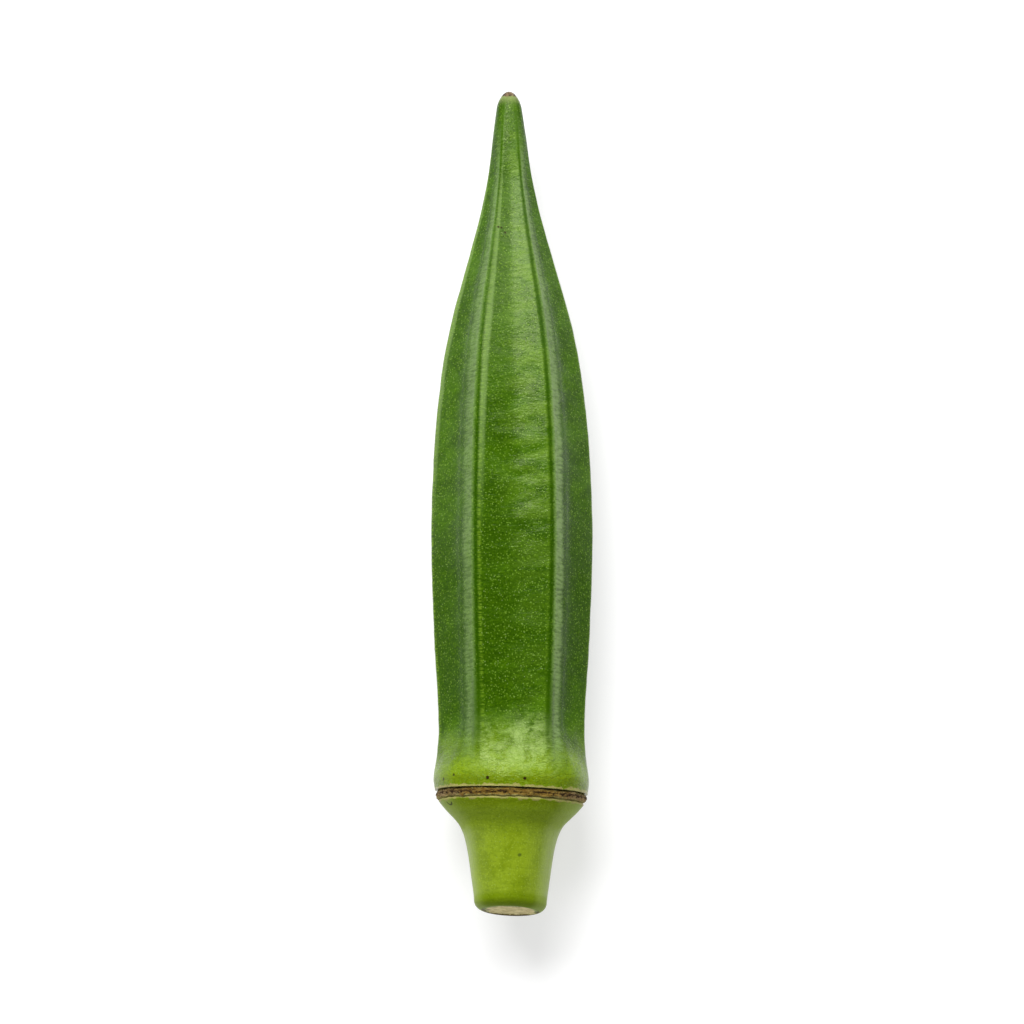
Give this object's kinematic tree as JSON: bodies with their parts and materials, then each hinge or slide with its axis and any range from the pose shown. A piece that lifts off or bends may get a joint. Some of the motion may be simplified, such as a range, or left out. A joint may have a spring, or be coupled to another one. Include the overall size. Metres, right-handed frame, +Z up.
{
  "type": "okra pod",
  "caption": "Picked okra pod lying on its side: long ribbed green capsule tapering to a blunt tip, with a dry calyx ring and a short cut stalk.",
  "frame": {"origin": "on the ground under the middle of the object's bounding box", "axes": "+Z up, +Y along the pod from the cut stalk toward the tip, +X to the right seen from above with the tip away"},
  "size_m": [0.0226, 0.1158, 0.0215],
  "materials": {
    "pod_skin": "fresh green waxy skin with fine pale speckles",
    "dry_scar": "dry brown corky tissue",
    "stalk_skin": "yellow-green stalk skin with a pale cut end"
  },
  "bodies": {
    "root": {"pod": "pod_skin", "calyx_scar": "dry_scar", "stem": "stalk_skin"}
  },
  "joints": []
}
